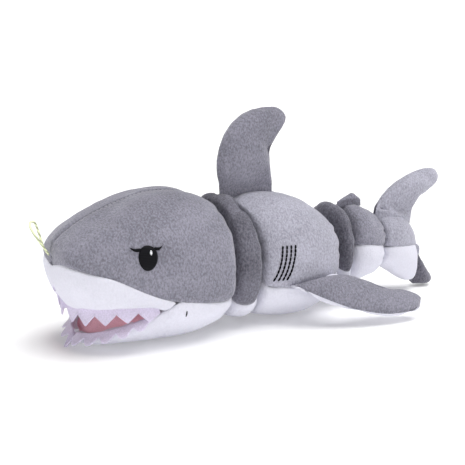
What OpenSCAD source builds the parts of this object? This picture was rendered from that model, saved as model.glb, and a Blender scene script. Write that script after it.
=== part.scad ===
// Plush shark dog toy, 14 inches long, lying on its belly.
// Nose towards -Y, tail towards +Y, the shark's left side towards +X, floor at Z = 0.
// Every fabric panel is a shell of its own, sewn round a pad of stuffing, and the body bends at five creases.

/* [Fabric] */
// Thickness of the plush panels
fabric_t = 1.6; // [1.2:0.1:2]
// Gap between a panel and the stuffing behind it
fill_gap = 0.7; // [0.5:0.1:1.2]
// Thickness of the felt teeth
felt_t = 1.2; // [0.8:0.1:1.6]

/* [Creases] */
// Half thickness of a crease's gathers at the middle of the body
crease_gap = 0.5; // [0.3:0.1:0.7]
// How fast the gathers thicken towards the side, which keeps them inside the crease
crease_slope = 0.07; // [0.04:0.01:0.08]

/* [Fins] */
// Half thickness of a fin where it is pinched into its seam
root_pinch = 1.3; // [1:0.1:1.6]
// Fullness of the fins
fin_fullness = 1; // [0.7:0.05:1.1]

/* [Teeth] */
// Number of upper teeth
upper_tooth_count = 13; // [9:1:14]
// Number of lower teeth
lower_tooth_count = 11; // [8:1:12]
// Depth of the felt strip above the notches
tooth_band = 4; // [3:0.5:5]
// Height of a tooth
tooth_h = 7.5; // [5:0.5:8]

/* [Squeaker] */
// Diameter of the squeaker bulb
squeaker_d = 44; // [36:1:48]
// Height of the squeaker bulb
squeaker_h = 18; // [14:1:22]

/* [Hidden] */

// Colours of the fabrics and the rest
grey_plush = [0.45, 0.44, 0.49];
dark_plush = [0.36, 0.35, 0.40];
light_plush = [0.60, 0.59, 0.64];
white_plush = [0.90, 0.90, 0.93];
pink_fleece = [0.90, 0.62, 0.66];
felt_lilac = [0.86, 0.83, 0.91];
black_thread = [0.03, 0.03, 0.04];
white_thread = [0.92, 0.92, 0.96];
loop_green = [0.80, 0.84, 0.60];
fill_white = [0.95, 0.95, 0.95];
bulb_plastic = [0.93, 0.93, 0.90];

// Squareness of a body section: 2 is an ellipse
squareness = 2.3;
// Degrees kept clear by a panel at its lower seam, and at the midline of the back
seam_deg = 0.5;
midline_deg = 0.15;

// Crease planes along Y
head_crease_y = -51;
neck_crease_y = -25.5;
waist_crease_y = 52;
hip_crease_y = 70.5;
tail_crease_y = 108.5;

// Body rings: [y, half width, top z, bottom z, widest z, forward lean of the top, seam angle]
// The seam angle is where the coloured back meets the white belly, in degrees above the widest level.
head_rings = [
    [-177.8, 2.4, 68, 62, 65, 0, 8], [-177, 19, 76, 50, 65, 0, 7], [-172.5, 31, 82, 38, 63, 0, 6],
    [-162, 40.5, 90, 20, 59, 0, 3], [-147, 46, 97.5, 6, 56, 0, 1], [-128, 51, 105, 1, 53, 0, -6],
    [-108, 54.5, 110.5, -1.5, 50, 0, -12], [-88, 56, 111, -1.5, 49, 0, -15],
    [-71, 54.5, 106.5, 2, 48, 0, -20], [-61.5, 50, 98.5, 8, 48, 0, -24], [-56.8, 40, 89, 16, 48, 0, -25],
    [-54.2, 24, 75, 28, 48, 0, -25], [-52.4, 7, 56, 41, 48, 0, -25]];
neck_rings = [
    [-49.6, 7, 58, 42, 49, 0, -42], [-47.7, 26, 78, 24, 49, 0, -42], [-44.6, 40, 92, 9, 49.5, 1, -42],
    [-39, 45.5, 97, 4, 50, 3, -40], [-34.4, 46.5, 98, 3, 50, 5.5, -36], [-30.8, 42.5, 95, 7, 50.5, 8, -30],
    [-28.7, 26, 80, 22, 50.5, 10, -26], [-27, 7, 59, 43, 50.5, 11, -25]];
torso_rings = [
    [-24, 7, 59, 43, 51, 12, -20], [-22.3, 26, 82, 22, 51, 12.5, -20], [-19.4, 40, 96, 7, 51, 13, -20],
    [-11, 45.5, 102.5, 1.5, 50, 12, -20], [6, 47.5, 103, -1.5, 49.5, 8, -20],
    [22, 46, 96.5, -1.5, 48.5, 3, -20], [36, 41.5, 86, 4, 47.5, 0, -20], [44.5, 33, 76, 13, 47, 0, -20],
    [49, 18, 62, 28, 46, 0, -18], [50.4, 7, 53, 39, 46, 0, -18]];
waist_rings = [
    [53.6, 7, 54, 40, 47, 0, -24], [55.2, 18, 67, 27, 47, 0, -24], [58, 29.5, 80, 15, 47.5, 0, -24],
    [61.2, 33, 84, 11, 48, 0, -24], [64.4, 31, 82.5, 13, 48.5, 0, -22], [67.4, 19, 69, 28, 49, 0, -20],
    [69, 7, 56, 42, 49, 0, -20]];
hip_rings = [
    [72, 7, 56, 42, 49, 0, 4], [73.8, 18, 70, 28, 49, 0, 4], [77, 27, 81.5, 18, 49.5, 0, 4],
    [84, 30, 84, 15.5, 49.5, 0, 3], [93, 27.5, 79.5, 17.5, 48.5, 0, 2], [101, 23, 74, 21, 47, 0, 1],
    [105.4, 15, 65, 30, 46.5, 0, 0], [107, 6, 54, 40, 46, 0, 0]];
tail_rings = [
    [110, 6, 54, 39, 46, 0, 0], [111.6, 14, 63, 31, 46, 0, 0], [115, 20, 69, 25, 46, 0, 0],
    [122, 21.5, 71, 20, 45.5, 0, 0], [131, 20, 69.5, 14, 42, 0, 3], [139, 18, 65.5, 9, 37, 0, 11],
    [146, 15, 58.5, 6, 32, 0, 22], [151.5, 10.5, 47, 6.5, 27, 0, 32], [154.4, 4, 34, 13, 23, 0, 36]];

// Upper lip from the front of the snout back to the left mouth corner
upper_lip = [
    [0, -171.5, 31], [18, -168, 31.5], [33, -157, 33], [43, -142, 34], [49, -127, 33.5],
    [51.5, -113, 30.5]];
// Lower lip from the chin back to the left mouth corner
lower_lip = [
    [0, -161, 8.5], [17, -157, 10.5], [30, -147, 14.5], [38, -135.5, 19.5], [43.5, -125, 24],
    [46.5, -117, 26.5], [48, -109.5, 28]];
// Lower jaw, with the lip at the widest level: rings as above
jaw_rings = [
    [-161, 3, 8.5, 4.5, 8.5, 0, 0], [-159.5, 11, 9, 2.6, 9, 0, 0], [-157, 18, 10.5, 1.4, 10.5, 0, 0],
    [-152.5, 25, 12.5, 0.7, 12.5, 0, 0], [-145, 32, 15.3, 0.5, 15.3, 0, 0],
    [-135.5, 38.5, 19.5, 0.5, 19.5, 0, 0], [-125, 43.5, 24, 0.5, 24, 0, 0], [-117, 46.5, 26, 0.5, 26, 0, 0],
    [-109.5, 48.5, 27, 0.6, 27, 0, 0]];
// Where the roof and the floor of the mouth meet
mouth_back_y = -119;
mouth_back_z = 28.5;
// Point on which the front of the head is centred, and the height of the upper lip by degrees round it
face_centre_y = -105;
lip_height = [[0, 31], [16, 31.5], [32, 33], [49, 34], [66, 33.5], [84, 31]];

// Fin stations: [leading edge, trailing edge, half thickness], from the root seam to the tip
dorsal_stations = [
    [[0, -42, 104.8], [0, 5, 104.8], 0], [[0, -43, 110], [0, 4.5, 110], 7],
    [[0, -45.5, 120], [0, 3, 119.5], 8.5], [[0, -43.5, 132], [0, 2.2, 130], 9],
    [[0, -39, 144.5], [0, 6, 138.5], 9], [[0, -31.5, 154.5], [0, 11, 145], 8.5],
    [[0, -20.5, 161.5], [0, 15, 150], 7.5], [[0, -7, 165.2], [0, 17.3, 154.5], 6],
    [[0, 3.5, 165.6], [0, 16.5, 159], 4], [[0, 8.5, 164.6], [0, 13.5, 162], 1.5]];
second_dorsal_stations = [
    [[0, 72.6, 84.4], [0, 91, 84], 0], [[0, 73.6, 86.4], [0, 90.8, 86.4], 3],
    [[0, 76.5, 89], [0, 89.5, 88.8], 3], [[0, 81.5, 91.4], [0, 87.5, 91], 1.6]];
upper_lobe_stations = [
    [[0, 109, 76], [0, 149, 65.2], 0], [[0, 112.5, 81], [0, 149.3, 69.5], 6.5],
    [[0, 119.5, 88.5], [0, 151.5, 75.5], 7.5], [[0, 131, 96.5], [0, 157, 81], 8],
    [[0, 145, 102.8], [0, 165, 86.5], 7.5], [[0, 159, 106.3], [0, 172.8, 91], 6.5],
    [[0, 169.5, 106.6], [0, 177, 95.5], 5], [[0, 174.5, 104.5], [0, 177.8, 99], 1.8]];
lower_lobe_stations = [
    [[0, 154.5, 3.2], [0, 158, 34], 0], [[0, 157.5, 2.8], [0, 161, 28], 5.5],
    [[0, 163, 1.8], [0, 166.5, 19.5], 6.5], [[0, 169, 1.6], [0, 172.3, 12], 5],
    [[0, 173.8, 2.2], [0, 176, 7], 1.8]];
pectoral_stations = [
    [[48.6, -6, 33], [45.4, 34, 36.5], 0], [[50.5, 1, 30.5], [47.5, 44.5, 35.5], 6],
    [[57.5, 13, 24], [49, 57, 31.5], 7], [[65.5, 30, 17], [52, 70, 26.5], 7],
    [[72.5, 48, 11.5], [56.5, 81.5, 22], 6.5], [[77.5, 67, 9], [61.5, 91, 18.5], 6],
    [[79, 84, 8.5], [66.5, 98.5, 15.5], 5], [[77, 94.5, 9.5], [71, 101.5, 13], 1.8]];
pectoral_up = [0.42, -0.2, 0.885];

// Loop for the hang tag, sewn into the nose: the middle line of the cord
loop_d = 1.6;
loop_route = [
    [1.2, -179.2, 69.8], [3.5, -181, 72], [6, -184.5, 77], [7, -188.5, 83], [6, -191.5, 88.5],
    [3, -192, 92], [-1, -190, 93.5], [-4, -186.5, 92], [-5, -184, 86], [-4, -182.5, 79.5],
    [-2.2, -181, 73.5], [-1.2, -179.4, 70.5]];

// Eye centre on the left cheek, and its half sizes along the cheek and upwards
eye_at = [-124.5, 70];
eye_half = [7.2, 8.8];

// ---------- helpers ----------
function spow(v, e) = sign(v) * pow(abs(v), e);
function spline(p0, p1, p2, p3, t) =
    0.5 * (2 * p1 + (p2 - p0) * t + (2 * p0 - 5 * p1 + 4 * p2 - p3) * t * t
        + (3 * p1 - p0 - 3 * p2 + p3) * t * t * t);
// The smooth curve through a list of points or rings, at u from 0 to the last index
function on_curve(list, u) =
    let (n = len(list) - 1, i = min(floor(u), n - 1), a = list[max(i - 1, 0)], d = list[min(i + 2, n)])
    spline(a, list[i], list[i + 1], d, u - i);
function resample(list, n) = [for (i = [0:n]) on_curve(list, i * (len(list) - 1) / n)];
function unit(v) = v / norm(v);
function mix(a, b, t) = a + (b - a) * t;

// A point of a ring's section: inset moves it inwards, t is the angle above the widest level.
// Where a ring reaches below the floor, the belly is pressed flat there.
function section_point(r, t, inset, mid_y, half_y) =
    let (e = 2 / squareness, s = sin(t), h = s >= 0 ? r[2] - r[4] : r[4] - r[3])
    [max(r[1] - inset, 0.3) * spow(cos(t), e),
     mid_y + (r[0] - mid_y) * (1 - inset / half_y) - r[5] * pow(max(s, 0), 2),
     max(r[4] + max(h - inset, 0.3) * spow(s, e), inset)];
function mid_of(rings) = (rings[0][0] + rings[len(rings) - 1][0]) / 2;
function half_of(rings) = (rings[len(rings) - 1][0] - rings[0][0]) / 2;

// A shell between two grids of the same size
module shell(outer, inner) {
    rows = len(outer);
    cols = len(outer[0]);
    n = rows * cols;
    function at(i, j) = i * cols + j;
    front = [for (i = [0:rows - 2]) for (j = [0:cols - 2]) each
        [[at(i, j), at(i + 1, j + 1), at(i, j + 1)], [at(i, j), at(i + 1, j), at(i + 1, j + 1)]]];
    back = [for (f = front) [n + f[0], n + f[2], n + f[1]]];
    function wall(a, b) = [[a, n + b, n + a], [a, b, n + b]];
    ends = [for (j = [0:cols - 2]) each
        concat(wall(at(0, j), at(0, j + 1)), wall(at(rows - 1, j + 1), at(rows - 1, j)))];
    sides = [for (i = [0:rows - 2]) each
        concat(wall(at(i + 1, 0), at(i, 0)), wall(at(i, cols - 1), at(i + 1, cols - 1)))];
    polyhedron(points = concat([for (r = outer) each r], [for (r = inner) each r]),
        faces = concat(front, back, ends, sides));
}

// A closed solid lofted through rings of points
module loft(rings) {
    rows = len(rings);
    cols = len(rings[0]);
    function centre(r) = [for (k = [0:2]) [for (p = r) 1 / cols] * [for (p = r) p[k]]];
    first = rows * cols;
    faces = concat(
        [for (i = [0:rows - 2]) for (j = [0:cols - 1])
            let (k = (j + 1) % cols, low = i * cols, high = low + cols) each
            [[low + j, high + k, low + k], [low + j, high + j, high + k]]],
        [for (j = [0:cols - 1]) [first, j, (j + 1) % cols]],
        [for (j = [0:cols - 1]) [first + 1, (rows - 1) * cols + (j + 1) % cols, (rows - 1) * cols + j]]);
    polyhedron(points = concat([for (r = rings) each r], [centre(rings[0]), centre(rings[rows - 1])]),
        faces = faces);
}

// The panels and the stuffing of one body segment
module panel(rings, spans, cols, mid_y, half_y) {
    function grid(inset) = [for (i = [0:len(rings) - 1]) [for (j = [0:cols])
        section_point(rings[i], mix(spans[i][0], spans[i][1], j / cols), inset, mid_y, half_y)]];
    shell(grid(0), grid(fabric_t));
}
function belly_spans(rings) = [for (r = rings) [r[6] - seam_deg, -180 - r[6] + seam_deg]];
module back_panel(rings, rows, cols) {
    r = resample(rings, rows);
    panel(r, [for (a = r) [180 - a[6], a[6]]], cols, mid_of(r), half_of(r));
}
module half_back_panel(rings, rows, cols) {
    r = resample(rings, rows);
    panel(r, [for (a = r) [90 - midline_deg, a[6]]], cols, mid_of(r), half_of(r));
}
module belly_panel(rings, rows, cols) {
    r = resample(rings, rows);
    panel(r, belly_spans(r), cols, mid_of(r), half_of(r));
}
module stuffing(rings, rows, cols) {
    r = resample(rings, rows);
    inset = fabric_t + fill_gap;
    m = mid_of(r);
    h = half_of(r);
    loft([for (a = r) [for (j = [0:cols - 1]) section_point(a, -360 * j / cols, inset, m, h)]]);
}

// The gathered fabric between two segments: a ring that fills the bottom of the crease
module crease_gather(y, z, inner, outer, lean = 0) {
    steps = 20;
    e = 2 / squareness;
    function rim(j, reach) = let (a = -360 * j / steps, x = reach[0] * spow(cos(a), e),
            c = crease_gap + crease_slope * abs(x), back = lean * pow(max(sin(a), 0), 2))
        [for (side = [-1, 1]) [x, y + side * c - back, z + reach[1] * spow(sin(a), e)]];
    function loop_at(j) = let (low = rim(j, inner), high = rim(j, outer)) [low[0], low[1], high[1], high[0]];
    faces = [for (j = [0:steps - 1]) let (k = (j + 1) % steps) for (q = [0:3]) let (p = (q + 1) % 4) each
        [[j * 4 + q, k * 4 + p, j * 4 + p], [j * 4 + q, k * 4 + q, k * 4 + p]]];
    polyhedron(points = [for (j = [0:steps - 1]) each loop_at(j)], faces = faces);
}

// ---------- fins ----------
function fin_point(s, t, up, inset) =
    let (mid = (s[0] + s[1]) / 2, arm = (s[0] - s[1]) / 2, reach = max(norm(arm) - inset, 0.4),
        half = max(max(s[2] * fin_fullness, root_pinch) - inset, 0.3))
    mid + unit(arm) * reach * cos(t) + unit(up) * half * spow(sin(t), 0.8);
module fin_panel(stations, rows, cols, up, from, to) {
    s = resample(stations, rows);
    inset = fabric_t * 0.6;
    shell([for (a = s) [for (j = [0:cols]) fin_point(a, mix(from, to, j / cols), up, 0)]],
        [for (a = s) [for (j = [0:cols]) fin_point(a, mix(from, to, j / cols), up, inset)]]);
}
module fin_upper(stations, rows, cols, up) { fin_panel(stations, rows, cols, up, 179.7, 0.3); }
module fin_under(stations, rows, cols, up) { fin_panel(stations, rows, cols, up, -0.3, -179.7); }
module fin_stuffing(stations, rows, cols, up) {
    s = resample(stations, rows);
    inset = fabric_t * 0.6 + fill_gap;
    loft([for (i = [1:rows]) [for (j = [0:cols - 1]) fin_point(s[i], -360 * j / cols, up, inset)]]);
}

// ---------- head ----------
module head_panel_left() { color(grey_plush) half_back_panel(head_rings, 18, 9); }
module head_panel_right() { color(grey_plush) mirror([1, 0, 0]) half_back_panel(head_rings, 18, 9); }

// How far the head's surface is from the line above face_centre_y, at an angle and a height
function in_head(p) =
    let (r = on_curve(head_rings, ring_index(head_rings, p[1], 0, 9)), dz = p[2] - r[4],
        h = dz >= 0 ? r[2] - r[4] : r[4] - r[3])
    pow(abs(p[0]) / r[1], squareness) + pow(abs(dz) / h, squareness) < 1;
function face_point(phi, z, d) = [d * sin(phi), face_centre_y - d * cos(phi), z];
function reach(phi, z, lo = 20, hi = 80, n = 12) =
    n == 0 ? (lo + hi) / 2 :
    let (m = (lo + hi) / 2)
    in_head(face_point(phi, z, m)) ? reach(phi, z, m, hi, n - 1) : reach(phi, z, lo, m, n - 1);
// Position along the rings where they reach y, by halving the interval
function ring_index(rings, y, lo, hi, n = 14) =
    n == 0 ? (lo + hi) / 2 :
    let (m = (lo + hi) / 2)
    on_curve(rings, m)[0] < y ? ring_index(rings, y, m, hi, n - 1) : ring_index(rings, y, lo, m, n - 1);
// Where the grey of the head meets the white, on the left side, at u along the rings
function cheek_seam(u) =
    let (r = on_curve(head_rings, u)) section_point(r, r[6], 0, mid_of(head_rings), half_of(head_rings));
function mirrored(p) = [-p[0], p[1], p[2]];
// Both sides of a left-hand list, from right to left
function both_sides(list) = concat([for (i = [len(list) - 1:-1:1]) mirrored(list[i])], list);

// White band from the snout's seam down to the upper lip, from one mouth corner round to the other
nose_tip_z = 61.5;
lip_corner = 84;
throat_y = -104.3;
module upper_jaw_panel() {
    half = 10;
    rows = 4;
    back = ring_index(head_rings, throat_y - 1.2, 3, 9);
    front = 0.35;
    top = [for (i = [0:half])
        i == 0 ? [0, -177, nose_tip_z] : cheek_seam(mix(front, back, i / half)) - [0, 0, 0.8]];
    function column(i, k, inset) =
        let (s = top[i], from = i == 0 ? 0 : atan2(s[0], face_centre_y - s[1]), to = lip_corner * i / half,
            z = mix(s[2], lookup(to, lip_height), k / rows), phi = mix(from, to, k / rows))
        face_point(phi, z, reach(phi, z) - inset);
    function row(k, inset) = both_sides([for (i = [0:half]) column(i, k, inset)]);
    color(white_plush) shell([for (k = [rows:-1:0]) row(k, 0)], [for (k = [rows:-1:0]) row(k, fabric_t)]);
}
module throat_panel() {
    rows = 9;
    cols = 14;
    last = len(head_rings) - 1;
    from = ring_index(head_rings, throat_y, 3, 9);
    r = [for (i = [0:rows]) on_curve(head_rings, from + (last - from) * i / rows)];
    color(white_plush) panel(r, belly_spans(r), cols, mid_of(head_rings), half_of(head_rings));
}
// A lining across the mouth between two lips, from the front back to where roof and floor meet
lining_t = 1.2;
module lining(lip, last, drop, arch) {
    rows = 7;
    cols = 8;
    start = 0.85;
    edge = fabric_t + 0.4;
    function left(i) = let (p = on_curve(lip, mix(start, last, i / rows)), w = norm([p[0], 0]))
        [w - edge, p[1] + edge * (1 - i / rows), mix(p[2] + drop, mouth_back_z + drop, pow(i / rows, 3))];
    function point(i, j, lift) = let (a = left(i), x = mix(-1, 1, j / cols))
        [a[0] * x, a[1], a[2] + lift + arch * (1 - x * x)];
    shell([for (i = [0:rows]) [for (j = [0:cols]) point(i, j, lining_t)]],
        [for (i = [0:rows]) [for (j = [0:cols]) point(i, j, 0)]]);
}
module palate_lining() { color(pink_fleece) lining(upper_lip, 4.4, 0.5, 2.5); }
// A row of felt teeth along a lip: drop is the way they hang, lean folds them outwards
module teeth(lip, count, drop, lean) {
    line = resample(both_sides(lip), 2 * count);
    n = len(line) - 1;
    function side(p) = unit([p[0], (p[1] - face_centre_y) / 1.6, 0]);
    function taper(i) = 1 - 0.45 * pow(abs(2 * i / n - 1), 4);
    function hang(p) = unit(drop + side(p) * lean);
    function depth(i) = taper(i) * (tooth_band + (i % 2 == 0 ? 0 : tooth_h));
    function edge(i, t) = let (p = line[i] + side(line[i]) * t) [p, p + hang(line[i]) * depth(i)];
    function grid(t) = [for (r = [1, 0]) [for (i = [0:n]) edge(i, t)[r]]];
    shell(grid(0), grid(-felt_t));
}
// The strips stop short of the mouth corners
upper_tooth_line = [for (k = [0:5]) let (p = on_curve(upper_lip, k * 0.84))
    [p[0] * 0.995, p[1] + 0.3, p[2] - 0.6]];
lower_tooth_line = [for (k = [0:5]) let (p = on_curve(lower_lip, k * 0.82))
    [p[0] * 1.04, p[1] - 2, p[2] - 0.2]];
module upper_teeth() { color(felt_lilac) teeth(upper_tooth_line, upper_tooth_count, [0, 0, -1], 0); }
module lower_teeth() { color(felt_lilac) teeth(lower_tooth_line, lower_tooth_count, [0, 0, -0.6], 0.8); }

// Stuffing of the head: above the mouth at the front, down to the throat behind it
module head_stuffing() {
    inset = fabric_t + fill_gap + 0.2;
    rows = 14;
    cols = 18;
    m = mid_of(head_rings);
    h = half_of(head_rings);
    roof = 39.5;
    step = 5;
    function floor_z(y) = y < mouth_back_y + step ? roof : y < throat_y + 2 ? roof - 2 : 0;
    function kept(p) = [p[0], p[1], max(p[2], floor_z(p[1]))];
    start = 0.7;
    behind = ring_index(head_rings, throat_y + 2.4, 3, 9);
    u = concat([for (i = [0:6]) mix(start, behind - 0.06, i / 6)],
        [for (i = [0:7]) mix(behind, len(head_rings) - 1.1, i / 7)]);
    color(fill_white) loft([for (v = u) let (a = on_curve(head_rings, v))
        [for (j = [0:cols - 1]) kept(section_point(a, -360 * j / cols, inset, m, h))]]);
}

// Embroidery on the cheek: a patch that follows the head's surface
function side_point(rings, y, z, lift) =
    let (r = on_curve(rings, ring_index(rings, y, 1, len(rings) - 1)), up = z >= r[4],
        s = pow(min(1, abs(z - r[4]) / (up ? r[2] - r[4] : r[4] - r[3])), squareness / 2))
    [(r[1] + lift) * pow(cos(asin(s)), 2 / squareness), y, z];
function cheek_point(y, z, lift) = side_point(head_rings, y, z, lift);
module cheek_patch(outline, thick) {
    lift = 0.15;
    c = [for (k = [0:1]) [for (p = outline) 1 / len(outline)] * [for (p = outline) p[k]]];
    n = len(outline);
    function dome(k) = lift + thick * (k == 0 ? 1 : 0.55);
    pts = concat([cheek_point(c[0], c[1], dome(0))], [for (p = outline) cheek_point(p[0], p[1], dome(1))],
        [cheek_point(c[0], c[1], lift)], [for (p = outline) cheek_point(p[0], p[1], lift)]);
    faces = [for (i = [0:n - 1]) let (a = 1 + i, b = 1 + (i + 1) % n, c1 = a + n + 1, d = b + n + 1) each
        [[0, b, a], [n + 1, c1, d], [a, b, d], [a, d, c1]]];
    polyhedron(points = pts, faces = faces);
}
eye_outline = [for (i = [0:19]) let (a = 360 * i / 20, s = sin(a))
    [eye_at[0] + eye_half[0] * cos(a) * (1 + 0.08 * s), eye_at[1] + eye_half[1] * s]];
module eye_left() { color(black_thread) cheek_patch(eye_outline, 0.9); }
module eye_right() { color(black_thread) mirror([1, 0, 0]) cheek_patch(eye_outline, 0.9); }
module highlight() {
    at = eye_at + [2.2, 3.4];
    translate([0.95, 0, 0]) cheek_patch([for (i = [0:9]) at + [1.3 * cos(36 * i), 2 * sin(36 * i)]], 0.5);
}
module eye_highlights() {
    color(white_thread) {
        highlight();
        mirror([1, 0, 0]) highlight();
    }
}
// A lash at each upper corner of the eye
module lashes() {
    for (s = [-1, 1]) {
        root = eye_at + [s * (eye_half[0] * 0.9 + 0.6), eye_half[1] * 0.52];
        tip = root + [s * 5.5, 2.6];
        dip = root + [s * 1.6, -1.6];
        cheek_patch(s > 0 ? [dip, tip, root + [s * 0.2, 2]] : [root + [s * 0.2, 2], tip, dip], 0.7);
    }
}
module eyelashes() {
    color(black_thread) {
        lashes();
        mirror([1, 0, 0]) lashes();
    }
}
module tack() { tube([for (z = [25, 27, 29]) cheek_point(-97, z, 0.7)], 0.8, 4); }
module mouth_corner_tacks() {
    color(black_thread) {
        tack();
        mirror([1, 0, 0]) tack();
    }
}

// A tube with eight sides along a route
module tube(route, d, rings) {
    sides = 8;
    line = resample(route, rings);
    n = len(line) - 1;
    function along(i) = unit(line[min(i + 1, n)] - line[max(i - 1, 0)]);
    across = [0.25, -0.55, -0.8];
    function ring(i) = let (t = along(i), a = unit(cross(t, across)), b = cross(t, a))
        [for (j = [0:sides - 1]) line[i] + (a * cos(360 * j / sides) + b * sin(360 * j / sides)) * d / 2];
    loft([for (i = [0:n]) ring(i)]);
}
module hang_loop() { color(loop_green) tube(loop_route, loop_d, 26); }

// ---------- lower jaw ----------
module lower_jaw_panel() { color(white_plush) belly_panel(jaw_rings, 12, 12); }
module mouth_floor_lining() {
    color(pink_fleece) lining(lower_lip, 4.75, -1, -1.5);
}
module jaw_stuffing() {
    rows = 12;
    cols = 12;
    inset = fabric_t + fill_gap;
    top_gap = 4.4;
    r = resample(jaw_rings, rows);
    m = mid_of(jaw_rings);
    h = half_of(jaw_rings);
    function arc(a) = let (t0 = asin(pow(min(0.9, top_gap / (a[4] - a[3])), squareness / 2)))
        [for (j = [0:cols]) section_point(a, mix(-t0, t0 - 180, j / cols), inset, m, h)];
    color(fill_white) loft([for (i = [4:rows]) arc(r[i])]);
}
// The throat fabric between the jaw and the head, which folds when the jaw moves
module jaw_hinge_gusset() {
    clear = 0.3;
    lift = 1;
    cols = 12;
    r = on_curve(head_rings, ring_index(head_rings, throat_y, 3, 9));
    ends = [jaw_rings[len(jaw_rings) - 1][0] + clear, throat_y - clear];
    function line(y, t, inset) =
        let (p = section_point(r, t, inset, mid_of(head_rings), half_of(head_rings))) [p[0], y, p[2] + lift];
    function grid(inset) = [for (y = ends) [for (j = [0:cols]) line(y, mix(-34, -146, j / cols), inset)]];
    color(white_plush) shell(grid(0), grid(fabric_t));
}

// ---------- neck, waist, hip and tail ----------
module neck_back_panel() { color(dark_plush) back_panel(neck_rings, 9, 14); }
module neck_belly_panel() { color(white_plush) belly_panel(neck_rings, 9, 10); }
module neck_stuffing() { color(fill_white) stuffing(neck_rings, 9, 18); }
module waist_back_panel() { color(dark_plush) back_panel(waist_rings, 8, 14); }
module waist_belly_panel() { color(white_plush) belly_panel(waist_rings, 8, 10); }
module waist_stuffing() { color(fill_white) stuffing(waist_rings, 8, 18); }
module hip_back_panel() { color(grey_plush) back_panel(hip_rings, 9, 14); }
module hip_belly_panel() { color(white_plush) belly_panel(hip_rings, 9, 10); }
module hip_stuffing() { color(fill_white) stuffing(hip_rings, 9, 18); }
module tail_back_panel() { color(light_plush) back_panel(tail_rings, 9, 12); }
module tail_belly_panel() { color(white_plush) belly_panel(tail_rings, 9, 10); }
module tail_stuffing() { color(fill_white) stuffing(tail_rings, 9, 18); }
module head_crease_gather() { color(dark_plush) crease_gather(head_crease_y, 48.5, [8, 9], [22, 24]); }
module neck_crease_gather() { color(dark_plush) crease_gather(neck_crease_y, 50.7, [6, 7], [8.5, 10], 11.5); }
module waist_crease_gather() { color(dark_plush) crease_gather(waist_crease_y, 46.5, [8, 9], [16, 18]); }
module hip_crease_gather() { color(dark_plush) crease_gather(hip_crease_y, 49, [8, 9], [16, 18]); }
module tail_crease_gather() { color(grey_plush) crease_gather(tail_crease_y, 46, [7, 8], [12, 14]); }

// ---------- torso ----------
module torso_back_left() { color(light_plush) half_back_panel(torso_rings, 12, 8); }
module torso_back_right() { color(light_plush) mirror([1, 0, 0]) half_back_panel(torso_rings, 12, 8); }
module torso_belly_panel() { color(white_plush) belly_panel(torso_rings, 12, 16); }
squeaker_at = [0, 14, 44];
module torso_stuffing() {
    pocket = 0.5;
    color(fill_white) difference() {
        stuffing(torso_rings, 12, 20);
        translate(squeaker_at)
            cylinder(d = squeaker_d + 2 * pocket, h = squeaker_h + 12, center = true, $fn = 72);
    }
}
bulb_wall = 1;
plug_d = 10;
plug_bore = 5;
plug_h = 7;
plug_z = squeaker_h / 2 - plug_h + 2.5;
module squeaker_bulb() {
    r = squeaker_d / 2;
    h = squeaker_h / 2;
    color(bulb_plastic) translate(squeaker_at) difference() {
        rotate_extrude($fn = 72) polygon([[0, -h], [r - 5, -h], [r - 1, -h + 3], [r, -2], [r - 2, 0], [r, 2],
            [r - 1, h - 3], [r - 5, h], [0, h]]);
        rotate_extrude($fn = 72) polygon([[0, -h + bulb_wall], [r - 5.5, -h + bulb_wall],
            [r - 2, -h + 3.4], [r - 1.2, -2], [r - 3.2, 0], [r - 1.2, 2], [r - 2, h - 3.4],
            [r - 5.5, h - bulb_wall], [0, h - bulb_wall]]);
        translate([0, 0, h - 2]) cylinder(d = plug_d, h = 4, $fn = 48);
    }
}
module squeaker_plug() {
    flange_t = 1.6;
    color(white_thread) translate(squeaker_at + [0, 0, plug_z]) difference() {
        union() {
            cylinder(d = plug_d - 0.04, h = plug_h, $fn = 48);
            translate([0, 0, plug_h - 2.4]) cylinder(d = plug_d + 3, h = flange_t, $fn = 48);
        }
        difference() {
            translate([0, 0, -1]) cylinder(d = plug_bore, h = plug_h + 2, $fn = 48);
            translate([-plug_bore, 0, 1]) cube([2 * plug_bore, plug_bore, plug_h - 2]);
        }
    }
}
module squeaker_reed() {
    reed = [3.2, 0.3, 5];
    color(bulb_plastic) translate(squeaker_at + [-reed[0] / 2, -reed[1], plug_z + 0.8]) cube(reed);
}
// Four lines of dark embroidery on each side, behind the neck
gill_count = 4;
gill_pitch = 3.5;
gill_d = 1;
module gill_lines() {
    steps = 5;
    first_y = -12.5;
    lean = 6.5;
    for (k = [0:gill_count - 1])
        tube([for (i = [0:steps]) let (v = i / steps)
            side_point(torso_rings, first_y + k * gill_pitch - lean * v * v, mix(65, 38, v), 0.9)], gill_d, 8);
}
module gill_stitches() {
    color(black_thread) {
        gill_lines();
        mirror([1, 0, 0]) gill_lines();
    }
}

// ---------- fins as nodes ----------
side_up = [-1, 0, 0];
other_up = -side_up;
module dorsal_fin_left() { color(grey_plush) fin_under(dorsal_stations, 11, 6, side_up); }
module dorsal_fin_right() { color(grey_plush) fin_upper(dorsal_stations, 11, 6, side_up); }
module dorsal_fin_stuffing() { color(fill_white) fin_stuffing(dorsal_stations, 11, 10, side_up); }
module second_dorsal_fin() {
    color(dark_plush)
        loft([for (s = resample(second_dorsal_stations, 5))
            [for (j = [0:11]) fin_point(s, -30 * j, side_up, 0)]]);
}
module upper_lobe_left() { color(light_plush) fin_under(upper_lobe_stations, 9, 6, side_up); }
module upper_lobe_right() { color(light_plush) fin_upper(upper_lobe_stations, 9, 6, side_up); }
module upper_lobe_stuffing() { color(fill_white) fin_stuffing(upper_lobe_stations, 9, 10, side_up); }
module lower_lobe_left() { color(dark_plush) fin_upper(lower_lobe_stations, 8, 6, other_up); }
module lower_lobe_right() { color(dark_plush) fin_under(lower_lobe_stations, 8, 6, other_up); }
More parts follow.
